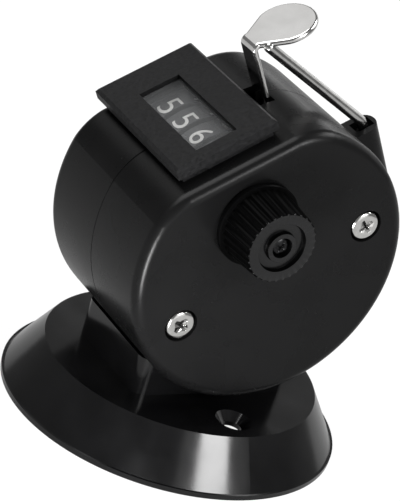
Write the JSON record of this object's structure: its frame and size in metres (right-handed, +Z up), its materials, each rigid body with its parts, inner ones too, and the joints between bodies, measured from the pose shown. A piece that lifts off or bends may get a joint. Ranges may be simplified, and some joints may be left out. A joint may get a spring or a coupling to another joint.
{
  "type": "desk tally counter",
  "caption": "Drum-shaped desk tally counter on a round foot, with a tilted number window, a press lever that counts up and a fluted knob that resets it.",
  "frame": {"origin": "centre of the round foot's underside", "axes": "+Z up out of the foot, +X along the wheel shaft towards the reset knob, +Y away from the user"},
  "size_m": [0.055, 0.055, 0.0696],
  "materials": {
    "gloss_black": "glossy",
    "satin_black": "satin",
    "frame_black": "fine matte texture",
    "clear": "clear, slightly hazy",
    "wheel_grey": "matte",
    "brass": "stamped",
    "steel": "plain",
    "pinion_white": "moulded",
    "nickel": "polished",
    "knob_black": "satin gloss",
    "dark_screw": "blackened",
    "bright_screw": "bright nickel"
  },
  "bodies": {
    "case": {"base": "gloss_black", "left_shell": "satin_black", "right_shell": "satin_black", "window_frame": "frame_black", "window_lens": "clear", "end_collar": "wheel_grey", "pinion_shaft": "steel", "detent_leaf": "steel", "return_spring": "steel", "lever_pin": "steel", "case_screws": "bright_screw", "base_screws": "bright_screw"},
    "lever": {"thumb_lever": "nickel", "lever_arm": "nickel", "drive_pawl": "steel"},
    "reset": {"wheel_shaft": "steel", "reset_knob": "knob_black", "knob_screw": "dark_screw"},
    "thousands": {"thousands_wheel": "wheel_grey"},
    "hundreds": {"hundreds_wheel": "wheel_grey"},
    "tens": {"tens_wheel": "wheel_grey"},
    "units": {"units_wheel": "wheel_grey", "ratchet_wheel": "brass"},
    "pinion_1": {"carry_pinion_1": "pinion_white"},
    "pinion_2": {"carry_pinion_2": "pinion_white"},
    "pinion_3": {"carry_pinion_3": "pinion_white"}
  },
  "joints": [
    {"name": "lever_press", "type": "hinge", "parent": "case", "child": "lever", "pos_m": [0.0031, 0.01806, 0.05043], "axis": [1, 0, 0], "range_deg": [0, 6.5], "stiffness_Nm_per_rad": 0.3, "springref_deg": -11.46, "deforming": ["return_spring", "detent_leaf"]},
    {"name": "reset_turn", "type": "hinge", "parent": "case", "child": "reset", "pos_m": [0, -0.00596, 0.04106], "axis": [1, 0, 0], "continuous": true, "deforming": ["detent_leaf", "drive_pawl"]},
    {"name": "thousands_turn", "type": "hinge", "parent": "case", "child": "thousands", "pos_m": [0, -0.00596, 0.04106], "axis": [1, 0, 0], "continuous": true},
    {"name": "hundreds_turn", "type": "hinge", "parent": "case", "child": "hundreds", "pos_m": [0, -0.00596, 0.04106], "axis": [1, 0, 0], "continuous": true},
    {"name": "tens_turn", "type": "hinge", "parent": "case", "child": "tens", "pos_m": [0, -0.00596, 0.04106], "axis": [1, 0, 0], "continuous": true},
    {"name": "units_turn", "type": "hinge", "parent": "reset", "child": "units", "pos_m": [0, -0.00596, 0.04106], "axis": [1, 0, 0], "range_deg": [-36, 0]},
    {"name": "pinion_1_turn", "type": "hinge", "parent": "case", "child": "pinion_1", "pos_m": [0, -0.00168, 0.03071], "axis": [1, 0, 0], "continuous": true},
    {"name": "pinion_2_turn", "type": "hinge", "parent": "case", "child": "pinion_2", "pos_m": [0, -0.00168, 0.03071], "axis": [1, 0, 0], "continuous": true},
    {"name": "pinion_3_turn", "type": "hinge", "parent": "case", "child": "pinion_3", "pos_m": [0, -0.00168, 0.03071], "axis": [1, 0, 0], "continuous": true}
  ],
  "couplings": [
    {"joint": "thousands_turn", "follows": "reset_turn", "ratio": 1},
    {"joint": "hundreds_turn", "follows": "reset_turn", "ratio": 1},
    {"joint": "tens_turn", "follows": "reset_turn", "ratio": 1},
    {"joint": "units_turn", "follows": "lever_press", "ratio": -5.5385},
    {"joint": "pinion_1_turn", "follows": "reset_turn", "ratio": -2.5},
    {"joint": "pinion_2_turn", "follows": "reset_turn", "ratio": -2.5},
    {"joint": "pinion_3_turn", "follows": "reset_turn", "ratio": -2.5}
  ]
}
